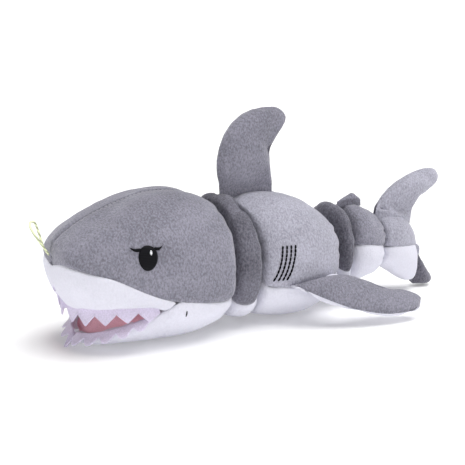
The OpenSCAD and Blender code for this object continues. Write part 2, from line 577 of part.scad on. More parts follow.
module lower_lobe_stuffing() { color(fill_white) fin_stuffing(lower_lobe_stations, 8, 10, other_up); }
module left_top() { fin_upper(pectoral_stations, 9, 7, pectoral_up); }
module left_underside() { fin_under(pectoral_stations, 9, 7, pectoral_up); }
module left_fill() { fin_stuffing(pectoral_stations, 9, 10, pectoral_up); }
module pectoral_left_top() { color(grey_plush) left_top(); }
module pectoral_left_underside() { color(white_plush) left_underside(); }
module pectoral_left_stuffing() { color(fill_white) left_fill(); }
module pectoral_right_top() { color(grey_plush) mirror([1, 0, 0]) left_top(); }
module pectoral_right_underside() { color(white_plush) mirror([1, 0, 0]) left_underside(); }
module pectoral_right_stuffing() { color(fill_white) mirror([1, 0, 0]) left_fill(); }

head_panel_left();
head_panel_right();
upper_jaw_panel();
throat_panel();
palate_lining();
upper_teeth();
head_stuffing();
eye_left();
eye_right();
eye_highlights();
eyelashes();
mouth_corner_tacks();
hang_loop();
lower_jaw_panel();
mouth_floor_lining();
lower_teeth();
jaw_stuffing();
jaw_hinge_gusset();
neck_back_panel();
neck_belly_panel();
neck_stuffing();
torso_back_left();
torso_back_right();
torso_belly_panel();
torso_stuffing();
gill_stitches();
squeaker_bulb();
squeaker_plug();
squeaker_reed();
dorsal_fin_left();
dorsal_fin_right();
dorsal_fin_stuffing();
pectoral_left_top();
pectoral_left_underside();
pectoral_left_stuffing();
pectoral_right_top();
pectoral_right_underside();
pectoral_right_stuffing();
waist_back_panel();
waist_belly_panel();
waist_stuffing();
hip_back_panel();
hip_belly_panel();
hip_stuffing();
second_dorsal_fin();
tail_back_panel();
tail_belly_panel();
tail_stuffing();
upper_lobe_left();
upper_lobe_right();
upper_lobe_stuffing();
lower_lobe_left();
lower_lobe_right();
lower_lobe_stuffing();
head_crease_gather();
neck_crease_gather();
waist_crease_gather();
hip_crease_gather();
tail_crease_gather();
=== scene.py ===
"""Plush shark: fabric skins grown from the CAD panels, inflated, seamed and creased."""
import math

import bmesh
import bpy
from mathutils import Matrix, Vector, noise
from mathutils.bvhtree import BVHTree
from mathutils.geometry import intersect_point_line


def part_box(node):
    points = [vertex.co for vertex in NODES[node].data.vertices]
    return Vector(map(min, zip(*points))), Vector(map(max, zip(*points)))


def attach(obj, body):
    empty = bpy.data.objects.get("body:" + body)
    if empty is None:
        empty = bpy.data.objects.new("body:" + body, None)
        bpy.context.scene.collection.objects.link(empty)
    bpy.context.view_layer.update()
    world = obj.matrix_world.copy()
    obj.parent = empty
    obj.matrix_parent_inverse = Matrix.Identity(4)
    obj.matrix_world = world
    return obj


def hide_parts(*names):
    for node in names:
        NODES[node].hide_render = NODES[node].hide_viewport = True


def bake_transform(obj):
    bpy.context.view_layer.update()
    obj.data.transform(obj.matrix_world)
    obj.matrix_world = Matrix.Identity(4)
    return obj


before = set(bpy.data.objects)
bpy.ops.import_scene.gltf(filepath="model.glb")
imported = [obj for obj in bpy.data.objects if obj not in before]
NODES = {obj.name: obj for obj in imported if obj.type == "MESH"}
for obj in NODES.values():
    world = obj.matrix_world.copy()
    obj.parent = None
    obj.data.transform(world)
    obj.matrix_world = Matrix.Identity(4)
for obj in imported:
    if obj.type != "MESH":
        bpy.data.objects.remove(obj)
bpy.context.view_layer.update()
MM = 0.001
SCENE = bpy.context.scene

# Camera: round from the nose and up, then how far from the point it looks at
AZIMUTH, ELEVATION, DISTANCE = math.radians(60), math.radians(12), 0.7
LOOK_AT = Vector((0, -0.03079, 0.06935))
LENS, SENSOR = 69.72, 36

# Fabric: how deep the seams lie, how far a panel may swell, what is turned in at an edge
SEAM_DEPTH = 2.4 * MM
SWELL = 3.0 * MM
SEAM_ALLOWANCE = 3.5 * MM
FIN_ALLOWANCE = 0.6 * MM
PANEL_REACH = 2.5 * MM  # two panel edges this close are sewn together
ROOT_REACH = 1.8 * MM  # an edge this close to a fin's root line belongs to the root
LENGTHWISE_GIVE = 0.45  # the share of the swelling that is left along the body
FLOOR_CLEAR = 0.25 * MM
CLOTH_FRAMES = 20

# Creases between the segments: (y, z of the middle, forward lean at the top, how far the folds run)
CREASE_Z = 0.048
HEAD_CREASE = (-0.051, CREASE_Z, 0.0, 0.010)
NECK_CREASE = (-0.0255, CREASE_Z, 0.012, 0.009)
WAIST_CREASE = (0.052, CREASE_Z, 0.0, 0.008)
HIP_CREASE = (0.0705, CREASE_Z, 0.0, 0.007)
TAIL_CREASE = (0.1085, CREASE_Z, 0.0, 0.006)

TORSO = "torso"
SIDES = (("left", 1), ("right", -1))

# Mouth: the corners' place along the body, and how much longer than wide the lips' curve is
MOUTH_CORNER_Y = -0.105
MOUTH_STRETCH = 1.6
LIP_OVERRUN = 3.5 * MM
FELT_T = 1.1 * MM
DOWN = Vector((0, 0, -1))

# Stage: a round floor and a low screen
STAGE_R, STAGE_SIDES = 4.0, 96
SCREEN_FOOT, SCREEN_TOP = -0.01, 1.3


def mm(*xyz):
    return Vector(xyz) * MM


def clamped(share):
    return max(0.0, min(1.0, share))


def flipped(v):
    return Vector((-v.x, v.y, v.z))


# ---------- camera ----------
def add_camera():
    back = Vector((
        math.sin(AZIMUTH) * math.cos(ELEVATION),
        -math.cos(AZIMUTH) * math.cos(ELEVATION),
        math.sin(ELEVATION),
    ))
    camera = bpy.data.objects.new("camera", bpy.data.cameras.new("camera"))
    SCENE.collection.objects.link(camera)
    camera.location = LOOK_AT + back * DISTANCE
    camera.rotation_mode = "QUATERNION"
    camera.rotation_quaternion = (-back).to_track_quat("-Z", "Y")
    camera.data.lens = LENS
    camera.data.sensor_width = SENSOR
    SCENE.camera = camera


# ---------- materials ----------
def new_material(name):
    material = bpy.data.materials.new(name)
    material.use_nodes = True
    tree = material.node_tree
    return material, tree, tree.nodes["Principled BSDF"]


def object_coords(tree, scale=(1, 1, 1)):
    coords = tree.nodes.new("ShaderNodeTexCoord")
    mapping = tree.nodes.new("ShaderNodeMapping")
    mapping.inputs["Scale"].default_value = scale
    tree.links.new(coords.outputs["Object"], mapping.inputs["Vector"])
    return mapping.outputs["Vector"]


def noise_node(tree, vector, scale, detail=2.0, rough=0.5):
    node = tree.nodes.new("ShaderNodeTexNoise")
    node.inputs["Scale"].default_value = scale
    node.inputs["Detail"].default_value = detail
    node.inputs["Roughness"].default_value = rough
    tree.links.new(vector, node.inputs["Vector"])
    return node.outputs["Fac"]


def ramp(tree, fac, stops):
    node = tree.nodes.new("ShaderNodeValToRGB")
    elements = node.color_ramp.elements
    for element, (place, colour) in zip(elements, stops[:2]):
        element.position = place
        element.color = (*colour, 1)
    for place, colour in stops[2:]:
        elements.new(place).color = (*colour, 1)
    tree.links.new(fac, node.inputs["Fac"])
    return node.outputs["Color"]


def mix_value(tree, a, b, share):
    node = tree.nodes.new("ShaderNodeMix")
    node.inputs["Factor"].default_value = share
    tree.links.new(a, node.inputs["A"])
    tree.links.new(b, node.inputs["B"])
    return node.outputs["Result"]


def add_bump(tree, shader, height, strength, distance):
    bump = tree.nodes.new("ShaderNodeBump")
    bump.inputs["Strength"].default_value = strength
    bump.inputs["Distance"].default_value = distance
    tree.links.new(height, bump.inputs["Height"])
    tree.links.new(bump.outputs["Normal"], shader.inputs["Normal"])


def shade(colour, gain):
    return tuple(min(1.0, c * gain) for c in colour)


def plush(name, colour, contrast=0.34, sheen=0.35):
    """Short-pile plush: tufts about a millimetre across, with broad brushed patches of lighter nap."""
    material, tree, shader = new_material(name)
    tufts = noise_node(tree, object_coords(tree, (1, 1, 0.7)), 760, 3, 0.6)
    nap = noise_node(tree, object_coords(tree, (1, 0.6, 1)), 45, 2, 0.5)
    both = mix_value(tree, tufts, nap, 0.3)
    dark, light = shade(colour, 1 - contrast), shade(colour, 1 + contrast)
    tone = ramp(tree, both, [(0.36, dark), (0.64, light)])
    tree.links.new(tone, shader.inputs["Base Color"])
    shader.inputs["Roughness"].default_value = 0.95
    shader.inputs["Specular IOR Level"].default_value = 0.15
    shader.inputs["Sheen Weight"].default_value = sheen
    shader.inputs["Sheen Roughness"].default_value = 0.45
    shader.inputs["Sheen Tint"].default_value = (0.95, 0.95, 1, 1)
    add_bump(tree, shader, tufts, 0.75, 0.9 * MM)
    return material


def fleece(name, colour, scale, contrast, bump):
    """Felt or fleece: matted fibres with no direction."""
    material, tree, shader = new_material(name)
    fibres = noise_node(tree, object_coords(tree), scale, 4, 0.65)
    tone = ramp(tree, fibres, [(0.35, shade(colour, 1 - contrast)), (0.65, shade(colour, 1 + contrast))])
    tree.links.new(tone, shader.inputs["Base Color"])
    shader.inputs["Roughness"].default_value = 0.9
    shader.inputs["Specular IOR Level"].default_value = 0.2
    shader.inputs["Sheen Weight"].default_value = 0.25
    add_bump(tree, shader, fibres, 0.6, bump * MM)
    return material


def thread(name, colour, pitch, direction="Z", gloss=0.45):
    """Embroidery: parallel satin threads."""
    material, tree, shader = new_material(name)
    wave = tree.nodes.new("ShaderNodeTexWave")
    wave.bands_direction = direction
    wave.inputs["Scale"].default_value = 1 / (pitch * MM) / 6.28
    wave.inputs["Distortion"].default_value = 1.5
    wave.inputs["Detail"].default_value = 2
    tree.links.new(object_coords(tree), wave.inputs["Vector"])
    tone = ramp(tree, wave.outputs["Fac"], [(0.1, shade(colour, 0.6)), (0.9, shade(colour, 1.25))])
    tree.links.new(tone, shader.inputs["Base Color"])
    shader.inputs["Roughness"].default_value = gloss
    shader.inputs["Specular IOR Level"].default_value = 0.12
    add_bump(tree, shader, wave.outputs["Fac"], 0.5, 0.25 * MM)
    return material


def plastic(name, colour):
    """Moulded plastic with a faint ripple."""
    material, tree, shader = new_material(name)
    ripple = noise_node(tree, object_coords(tree), 60)
    tone = ramp(tree, ripple, [(0.3, shade(colour, 0.94)), (0.7, shade(colour, 1.04))])
    tree.links.new(tone, shader.inputs["Base Color"])
    shader.inputs["Roughness"].default_value = 0.35
    add_bump(tree, shader, ripple, 0.1, 0.3 * MM)
    return material


MATERIALS = {
    "grey_plush": plush("grey_plush", (0.235, 0.230, 0.278)),
    "dark_plush": plush("dark_plush", (0.150, 0.146, 0.178), 0.42),
    "light_plush": plush("light_plush", (0.385, 0.380, 0.448), 0.28),
    "white_plush": plush("white_plush", (0.72, 0.715, 0.80), 0.035, 0.15),
    "pink_fleece": fleece("pink_fleece", (0.92, 0.54, 0.63), 1100, 0.14, 0.4),
    "felt_lilac": fleece("felt_lilac", (0.66, 0.60, 0.76), 900, 0.10, 0.35),
    "black_thread": thread("black_thread", (0.004, 0.004, 0.006), 0.55, gloss=0.6),
    "white_thread": thread("white_thread", (0.80, 0.80, 0.92), 0.5),
    "loop_green": thread("loop_green", (0.74, 0.78, 0.52), 0.8, "DIAGONAL", 0.6),
    "fill_white": fleece("fill_white", (0.85, 0.85, 0.85), 300, 0.05, 1.0),
    "bulb_plastic": plastic("bulb_plastic", (0.82, 0.82, 0.76)),
    "white_plastic": plastic("white_plastic", (0.85, 0.85, 0.88)),
}


def dress(obj, slot):
    obj.data.materials.clear()
    obj.data.materials.append(MATERIALS[slot])


# ---------- mesh helpers ----------
def to_object(bm, name, smooth=True):
    mesh = bpy.data.meshes.new(name)
    bm.normal_update()
    bm.to_mesh(mesh)
    bm.free()
    obj = bpy.data.objects.new(name, mesh)
    SCENE.collection.objects.link(obj)
    mesh.polygons.foreach_set("use_smooth", [smooth] * len(mesh.polygons))
    return obj


def node_bmesh(name):
    bm = bmesh.new()
    bm.from_mesh(NODES[name].data)
    bmesh.ops.remove_doubles(bm, verts=bm.verts, dist=0.01 * MM)
    bm.normal_update()
    return bm


def faces_joined(start, limit):
    """The faces reached from one face without crossing a sharp edge."""
    found, queue = {start}, [start]
    while queue:
        face = queue.pop()
        for edge in face.edges:
            if len(edge.link_faces) == 2 and edge.calc_face_angle(4) < limit:
                other = next(f for f in edge.link_faces if f is not face)
                if other not in found:
                    found.add(other)
                    queue.append(other)
    return found


def outer_side(name, centre, limit=1.1):
    """The outer side of a CAD panel, whose shell has an outer side, an inner side and narrow walls."""
    bm = node_bmesh(name)
    left, best, best_score = set(bm.faces), None, 0
    while left:
        group = faces_joined(min(left, key=lambda f: f.index), limit)
        left -= group
        score = sum(f.calc_area() * f.normal.dot(f.calc_center_median() - centre) for f in group)
        if score > best_score:
            best, best_score = group, score
    bmesh.ops.delete(bm, geom=[f for f in bm.faces if f not in best], context="FACES")
    bmesh.ops.join_triangles(bm, faces=bm.faces, angle_face_threshold=1.2, angle_shape_threshold=1.6)
    return bm


def bake(obj):
    """Applies the modifiers of an object."""
    graph = bpy.context.evaluated_depsgraph_get()
    mesh = bpy.data.meshes.new_from_object(obj.evaluated_get(graph))
    obj.modifiers.clear()
    old = obj.data
    obj.data = mesh
    bpy.data.meshes.remove(old)
    mesh.name = obj.name


def subdivided(obj, levels):
    modifier = obj.modifiers.new("smooth", "SUBSURF")
    modifier.levels = modifier.render_levels = levels
    modifier.boundary_smooth = "PRESERVE_CORNERS"
    bake(obj)


def edit(obj, change):
    """Runs change(bm) on an object's mesh."""
    bm = bmesh.new()
    bm.from_mesh(obj.data)
    bm.normal_update()
    change(bm)
    bm.normal_update()
    bm.to_mesh(obj.data)
    bm.free()
    obj.data.polygons.foreach_set("use_smooth", [True] * len(obj.data.polygons))


def tree_of(*names):
    """A search tree over the faces of several CAD nodes."""
    points, faces = [], []
    for name in names:
        mesh = NODES[name].data
        first = len(points)
        points += [v.co.copy() for v in mesh.vertices]
        faces += [[first + i for i in p.vertices] for p in mesh.polygons]
    return BVHTree.FromPolygons(points, faces)


def skin_tree(*objects):
    """A search tree over the faces of several objects."""
    points, faces = [], []
    for obj in objects:
        first = len(points)
        points += [v.co.copy() for v in obj.data.vertices]
        faces += [[first + i for i in p.vertices] for p in obj.data.polygons]
    return BVHTree.FromPolygons(points, faces)


def box_centre(*names):
    low = Vector([min(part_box(n)[0][k] for n in names) for k in range(3)])
    high = Vector([max(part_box(n)[1][k] for n in names) for k in range(3)])
    return (low + high) / 2


def rim_of(obj):
    """The open edges of a mesh, and the numbers of their points."""
    bm = bmesh.new()
    bm.from_mesh(obj.data)
    edges = [(e.verts[0].co.copy(), e.verts[1].co.copy()) for e in bm.edges if e.is_boundary]
    numbers = [v.index for v in bm.verts if v.is_boundary]
    bm.free()
    return edges, numbers


def nearest_on(edges, p):
    best, best_gap = None, 1e9
    for a, b in edges:
        on, t = intersect_point_line(p, a, b)
        on = a if t < 0 else b if t > 1 else on
        gap = (on - p).length
        if gap < best_gap:
            best, best_gap = on, gap
    return best, best_gap


# ---------- the skins ----------
def rounded(obj):
    """Smooths a coarse panel without letting it shrink away from its own surface."""
    coarse = skin_tree(obj)
    subdivided(obj, 1)
    rim = set(rim_of(obj)[1])
    for v in obj.data.vertices:
        if v.index not in rim:
            v.co = coarse.find_nearest(v.co)[0]
    return obj


def skin(name, node, centre):
    """A panel's fabric, from the outer side of its CAD shell."""
    return rounded(to_object(outer_side(node, centre), name))


def sew(objects, centre, reach):
    """Brings facing edges of neighbouring panels together, then draws the fabric in, deepest at the seams.
    reach(p) is how far apart two edges may be. Returns the numbers of the sewn points of each object."""
    rims = {obj: rim_of(obj) for obj in objects}
    sewn, targets = {}, {}
    for obj in objects:
        others = [e for other in objects if other is not obj for e in rims[other][0]]
        targets[obj] = {}
        for k in rims[obj][1]:
            p = obj.data.vertices[k].co
            on, gap = nearest_on(others, p)
            if gap < reach(p):
                targets[obj][k] = (p + on) / 2
        sewn[obj] = set(targets[obj])
    for obj in objects:
        rim = set(rims[obj][1])
        normals = [v.normal.copy() for v in obj.data.vertices]
        for v, n in zip(obj.data.vertices, normals):
            if v.index in rim:
                v.co = targets[obj].get(v.index, v.co)
                v.co += Vector((-v.co.x, 0, centre.z - v.co.z)).normalized() * SEAM_DEPTH
            else:
                v.co -= n * SEAM_DEPTH * (1 - 0.9 * abs(n.y))
            v.co.z = max(v.co.z, FLOOR_CLEAR)
    return sewn


def add_cloth(obj, pressure, slack):
    pins = obj.vertex_groups.new(name="seams")
    bm = bmesh.new()
    bm.from_mesh(obj.data)
    pins.add([v.index for v in bm.verts if v.is_boundary], 1.0, "REPLACE")
    bm.free()
    cloth = obj.modifiers.new("cloth", "CLOTH")
    settings = cloth.settings
    settings.quality = 4
    settings.mass = 0.25
    settings.tension_stiffness = settings.compression_stiffness = 12
    settings.shear_stiffness = 6
    settings.bending_stiffness = 0.4
    settings.shrink_min = -slack
    settings.use_pressure = True
    settings.uniform_pressure_force = pressure
    settings.vertex_group_mass = "seams"
    settings.effector_weights.gravity = 0
    cloth.collision_settings.use_collision = False
    cloth.collision_settings.use_self_collision = False
    cloth.point_cache.frame_start = 1
    cloth.point_cache.frame_end = CLOTH_FRAMES


def inflate(objects, cap, pressure=4.0, slack=0.03):
    """Blows the pinned panels up with a short cloth simulation, and limits how far a point moves."""
    for obj in objects:
        add_cloth(obj, pressure, slack)
    for step in range(1, CLOTH_FRAMES + 1):
        SCENE.frame_set(step)
    graph = bpy.context.evaluated_depsgraph_get()
    for obj in objects:
        blown = [v.co.copy() for v in obj.evaluated_get(graph).data.vertices]
        obj.modifiers.clear()
        obj.vertex_groups.clear()
        for v, target in zip(obj.data.vertices, blown):
            move = target - v.co
            move.y *= LENGTHWISE_GIVE
            if move.length > 1e-9:
                v.co += move * (cap * math.tanh(move.length / cap) / move.length)
            v.co.z = max(v.co.z, FLOOR_CLEAR)
    SCENE.frame_set(1)


def crease_plane(p, crease):
    """How far along the body a crease is, at the height of a point."""
    y, z, lean, _ = crease
    up = max(0.0, p.z - z) / 0.05
    return y - lean * min(1.0, up) ** 2


def close_crease(obj, crease, span):
    """Fills a segment out towards a crease, so that its shoulder is full and the crease is narrow."""
    for v in obj.data.vertices:
        plane = crease_plane(v.co, crease)
        gap = v.co.y - plane
        share = min(1.0, abs(gap) / span)
        keep = 0.10 + 0.90 * share * share * (3 - 2 * share)
        v.co.y = plane + gap * keep


def raise_top(obj, front, rear, height):
    """Lifts the top of a segment between two creases, so that the outline runs level over them."""
    middle, half = (front[0] + rear[0]) / 2, abs(front[0] - rear[0]) / 2
    for v in obj.data.vertices:
        above = max(0.0, v.co.z - CREASE_Z)
        up = max(0.0, math.sin(math.atan2(v.co.z - CREASE_Z, abs(v.co.x))))
        lean = middle - NECK_CREASE[2] * min(1.0, above / 0.05) ** 2 / 2
        near = min(1.0, abs(v.co.y - lean) / half)
        v.co.z += height * up ** 3 * (1 - 0.45 * near * near) * min(1.0, above / 0.03)


def lift_front_seam(piece, way):
    """Moves a pectoral's front seam up and back, so that the white underside wraps round its lower edge."""
    root, tip = Vector((0.047 * way, 0.014, 0.035)), Vector((0.100 * way, 0.058, 0.012))
    along = (tip - root).normalized()
    front = Vector((0.5 * way, -0.85, 0))
    for k in rim_of(piece)[1]:
        v = piece.data.vertices[k]
        run = (v.co - root).dot(along)
        off = v.co - root - along * run
        share = clamped(run / 0.018) * clamped(off.dot(front) / 0.006)
        v.co += (Vector((0, 0, 5.5)) - front * 3.0) * MM * share


def turn_in_edges(obj, root=None, reach=SEAM_ALLOWANCE):
    """Turns a skin's edges inwards, as a seam allowance. A fin's root, (line start, line end, way), runs on
    into the body."""
    def change(bm):
        source = {}
        for v in bm.verts:
            if v.is_boundary:
                way = -v.normal * reach
                if root:
                    on, _ = intersect_point_line(v.co, root[0], root[1])
                    gap = on - v.co
                    if root[0].x == 0:
                        gap.x = 0
                    if gap.length < ROOT_REACH:
                        way = root[2]
                source[v] = (v.co.copy(), way)
        for depth in (0.25, 1.0):
            rim = [e for e in bm.edges if e.is_boundary]
            made = bmesh.ops.extrude_edge_only(bm, edges=rim)["geom"]
            new = {g for g in made if isinstance(g, bmesh.types.BMVert)}
            for v in new:
                below = next(e.other_vert(v) for e in v.link_edges if e.other_vert(v) not in new)
                source[v] = source[below]
                v.co = source[v][0] + source[v][1] * depth
                v.co.z = max(v.co.z, FLOOR_CLEAR)

    edit(obj, change)


def ripple(obj, height):
    """Moves each point along its normal by height(point)."""
    def change(bm):
        moves = [(v, v.normal * height(v.co)) for v in bm.verts]
        for v, move in moves:
            v.co += move
            v.co.z = max(v.co.z, FLOOR_CLEAR)

    edit(obj, change)


def lumps(p):
    """Soft unevenness of the stuffing."""
    return 0.45 * MM * noise.noise(p * 38) + 0.18 * MM * noise.noise(p * 110 + Vector((7, 3, 1)))


def puckers(creases):
    """Radial folds that run out of the creases: a crease is (y, z of its middle, forward lean, reach)."""
    def height(p):
        total = 0.0
        for crease in creases:
            y, z, _, reach = crease
            away = abs(p.y - crease_plane(p, crease))
            if away < 4 * reach:
                angle = math.atan2(p.z - z, p.x)
                fold = noise.noise(Vector((angle * 6.0, p.y * 22, y * 50)))
                top = 0.55 + 0.75 * max(0.0, math.sin(angle))
                total += 2.3 * MM * top * fold * math.exp(-away / reach)
        return total

    return height


def dent(p, start, end, width, depth):
    """A soft furrow along a straight line."""
    line = end - start
    t = max(0.0, min(1.0, (p - start).dot(line) / line.length_squared))
    away = (p - (start + line * t)).length
    return -depth * math.exp(-(away / width) ** 2) * (1 - 0.6 * t)


def finish_skin(obj, slot, body, replaced, creases=(), root=None, blend=None, extra=None):
    """The steps after the simulation: smoothing, folds, seam allowance, material, and the body when no blend
    is given; with a blend the piece is only baked in place.
    """
    subdivided(obj, 1)
    folds = puckers(creases)
    ripple(obj, lambda p: lumps(p) + folds(p) + (extra(p) if extra else 0.0))
    turn_in_edges(obj, root, FIN_ALLOWANCE if root else SEAM_ALLOWANCE)
    dress(obj, slot)
    if blend:
        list(blend)
        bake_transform(obj)
    else:
        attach(obj, body)
    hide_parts(*replaced)


def across(parent, child, crease, run):
    """The parent and child at a crease, and two points: one on the crease and one run millimetres further
    along the body.
    """
    y = crease[0]
    return parent, child, (0, y, CREASE_Z), (0, y + run * MM, CREASE_Z)


# ---------- the lower skin: jaw and throat in one ----------
def edge_at(bm, y):
    """The highest point on the left of a mesh's open edges, at one distance along the body."""
    best = None
    for e in bm.edges:
        a, b = e.verts[0].co, e.verts[1].co
        if e.is_boundary and (a.y - y) * (b.y - y) < 0 and a.x > 0:
            p = a.lerp(b, (y - a.y) / (b.y - a.y))
            if best is None or p.z > best.z:
                best = p
    return best


def lower_skin(name):
    """White fabric from the lower lip back under the throat, in one piece across the back of the jaw."""
    above_middle = Vector((0, 0, 20 * MM))
    clear = 0.8 * MM
    centre = box_centre("throat_panel", "lower_jaw_panel") + above_middle
    jaw, throat = outer_side("lower_jaw_panel", centre), outer_side("throat_panel", centre)
    (jaw_low, jaw_high), (throat_low, throat_high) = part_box("lower_jaw_panel"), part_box("throat_panel")
    jaw_end, throat_start = jaw_high.y - clear, throat_low.y + clear
    lip_end, cheek_start = edge_at(jaw, jaw_end), edge_at(throat, throat_start)
    surface = tree_of("lower_jaw_panel", "jaw_hinge_gusset", "throat_panel")
    front, back = jaw_low.y, throat_high.y
    rows, cols = 46, 26
    bm = bmesh.new()
    grid = []
    for i in range(rows + 1):
        u = 0.004 + 0.992 * i / rows
        y = front + (back - front) * (0.5 - 0.5 * math.cos(math.pi * u))
        if jaw_end < y < throat_start:
            edge = lip_end.lerp(cheek_start, (y - jaw_end) / (throat_start - jaw_end))
        else:
            edge = edge_at(jaw if y < jaw_end else throat, y) or grid[-1][0].co.copy()
            edge.y = y
        depth = max(edge.z - FLOOR_CLEAR, 0.003)
        row = []
        for j in range(cols + 1):
            a = math.pi * j / cols
            arm = Vector((edge.x * math.cos(a), 0, -depth * math.sin(a)))
            hub = Vector((0, y, edge.z))
            hit = surface.ray_cast(hub + arm * 3, -arm)[0]
            if hit is None or (hit - hub).dot(arm) < 0.55 * arm.length_squared:
                hit = surface.find_nearest(hub + arm)[0]
                hit.y = y
            if j in (0, cols):
                hit = Vector((edge.x if j == 0 else -edge.x, y, edge.z))
            row.append(bm.verts.new(hit))
        grid.append(row)
    for i in range(rows):
        for j in range(cols):
            bm.faces.new((grid[i][j], grid[i][j + 1], grid[i + 1][j + 1], grid[i + 1][j]))
    jaw.free()
    throat.free()
    bmesh.ops.recalc_face_normals(bm, faces=bm.faces)
    bm.normal_update()
    if bm.faces[len(bm.faces) // 2].normal.z > 0:
        bmesh.ops.reverse_faces(bm, faces=bm.faces)
    bmesh.ops.smooth_vert(bm, verts=[v for v in bm.verts if not v.is_boundary], factor=0.4,
                          use_axis_x=True, use_axis_y=True, use_axis_z=True)
    return to_object(bm, name)


# ---------- small soft pieces ----------
def small_piece(obj, slot, body, *nodes, blend=None):
    """Gives a piece its material and, when no blend is given, its body (with a blend it is only baked in
    place), and says which CAD nodes it stands for.
    """
    dress(obj, slot)
    if blend:
        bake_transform(obj)
    else:
        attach(obj, body)
    if nodes:
        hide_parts(*nodes)


def soft_copy(name, node, levels, fuzz, bevel=0.0):
    """A piece made from a whole CAD node, rounded and given an uneven fabric surface."""
    bm = node_bmesh(node)
    bmesh.ops.join_triangles(bm, faces=bm.faces, angle_face_threshold=0.9, angle_shape_threshold=1.6)
    obj = to_object(bm, name)
    if bevel:
        modifier = obj.modifiers.new("edge", "BEVEL")
        modifier.width = bevel
        modifier.segments = 2
        modifier.limit_method = "ANGLE"
        modifier.angle_limit = 0.6
        bake(obj)
        modifier = obj.modifiers.new("divide", "SUBSURF")
        modifier.subdivision_type = "SIMPLE"
        modifier.levels = modifier.render_levels = levels
        bake(obj)
    else:
        subdivided(obj, levels)
    ripple(obj, lambda p: fuzz * noise.noise(p * 160))
    return obj


def on_skin(surface, y, z, side, lift):
    """The point of a skin at a height and a distance along the body, lifted off it."""
    hit, normal, _, _ = surface.ray_cast(Vector((side * 0.2, y, z)), Vector((-side, 0, 0)))
    if hit is None:
        hit, normal, _, _ = surface.find_nearest(Vector((side * 0.045, y, z)))
    if normal.x * side < 0:
        normal = -normal
    return hit + normal * lift


def patch(name, surface, side, outline, thick, rings=7, base=0.1 * MM):
    """Embroidery: a padded patch that follows a skin. outline(a) gives (y, z) round its edge."""
    steps = 48
    bm = bmesh.new()
    rim = [outline(2 * math.pi * k / steps) for k in range(steps)]
    centre = (sum(p[0] for p in rim) / steps, sum(p[1] for p in rim) / steps)
    rows = []
    for r in range(1, rings + 1):
        share = r / rings
        lift = base + thick * (1 - share ** 4) ** 0.5
        ring = [[c + (at - c) * share for at, c in zip(p, centre)] for p in rim]
        rows.append([bm.verts.new(on_skin(surface, *p, side, lift)) for p in ring])
    hub = bm.verts.new(on_skin(surface, *centre, side, base + thick))
    under = [bm.verts.new(v.co - Vector((side * 0.9 * MM, 0, 0))) for v in rows[-1]]
    rows.append(under)
    for k in range(steps):
        nxt = (k + 1) % steps
        bm.faces.new((hub, rows[0][k], rows[0][nxt]))
        for low, high in zip(rows, rows[1:]):
            bm.faces.new((low[k], high[k], high[nxt], low[nxt]))
    bmesh.ops.recalc_face_normals(bm, faces=bm.faces)
    return to_object(bm, name)


def tube_mesh(bm, points, radius, sides=8):
    """Adds a rounded tube through a list of points to a bmesh."""
    rings = []
    last = len(points) - 1
    for i, p in enumerate(points):
        along = (points[min(i + 1, last)] - points[max(i - 1, 0)]).normalized()
        a = along.orthogonal().normalized()
        b = along.cross(a)
        r = radius * (0.55 if i in (0, last) else 1.0)
        rings.append([bm.verts.new(p + (a * math.cos(t) + b * math.sin(t)) * r)
                      for t in (2 * math.pi * k / sides for k in range(sides))])
    for low, high in zip(rings, rings[1:]):
        for k in range(sides):
            nxt = (k + 1) % sides
            bm.faces.new((low[k], low[nxt], high[nxt], high[k]))
    bm.faces.new(rings[0][::-1])
    bm.faces.new(rings[-1])


def joined(name, objects):
    """Joins several small objects into one piece."""
    bm = bmesh.new()
    for obj in objects:
        bm.from_mesh(obj.data)
        bpy.data.objects.remove(obj)
    return to_object(bm, name)


def stitched_line(bm, route, radius, stitch, gap):
    """Short raised stitches along a route."""
    length = sum((b - a).length for a, b in zip(route, route[1:]))
    count = max(1, round(length / (stitch + gap)))

    def at(share):
        u = max(0.0, min(1.0, share)) * (len(route) - 1)
        i = min(int(u), len(route) - 2)
        return route[i].lerp(route[i + 1], u - i)

    for k in range(count):
        low, high = k / count, (k + stitch / (stitch + gap)) / count
        tube_mesh(bm, [at(low + (high - low) * j / 4) for j in range(5)], radius)


# ---------- lips and teeth ----------
def lip_of(obj):
    """The free edge of a lip, as points from the right mouth corner round the front to the left one."""
    free = [k for k in rim_of(obj)[1] if k not in HEAD_SEWN[obj]]
    points = [obj.data.vertices[k].co.copy() for k in free]
    points = [p for p in points if p.y < MOUTH_CORNER_Y + 1 * MM]
    points.sort(key=lambda p: math.atan2(p.x, MOUTH_CORNER_Y - p.y))
    outer, inner = [points[0], points[-1]], [points[1], points[-2]]
    start, end = [a + (a - b).normalized() * LIP_OVERRUN for a, b in zip(outer, inner)]
    return [start] + points + [end]


def resampled(points, n):
    """n + 1 points evenly spaced along a line."""
    lengths = [0.0]
    for a, b in zip(points, points[1:]):
        lengths.append(lengths[-1] + (b - a).length)
    out, k = [], 0
    for i in range(n + 1):
        goal = lengths[-1] * i / n
        while k < len(points) - 2 and lengths[k + 1] < goal:
            k += 1
        span = max(lengths[k + 1] - lengths[k], 1e-9)
        out.append(points[k].lerp(points[k + 1], min(1.0, (goal - lengths[k]) / span)))
    return out


def smoothed(points, times=3):
    for _ in range(times):
        inner = [(a + 2 * b + c) / 4 for a, b, c in zip(points, points[1:], points[2:])]
        points = [points[0]] + inner + [points[-1]]
    return points


def outward(p):
    """The way out of the mouth at a point of a lip."""
    return Vector((p.x, (p.y - MOUTH_CORNER_Y) / MOUTH_STRETCH, 0)).normalized()


def surface_area(obj):
    return sum(face.area for face in obj.data.polygons)


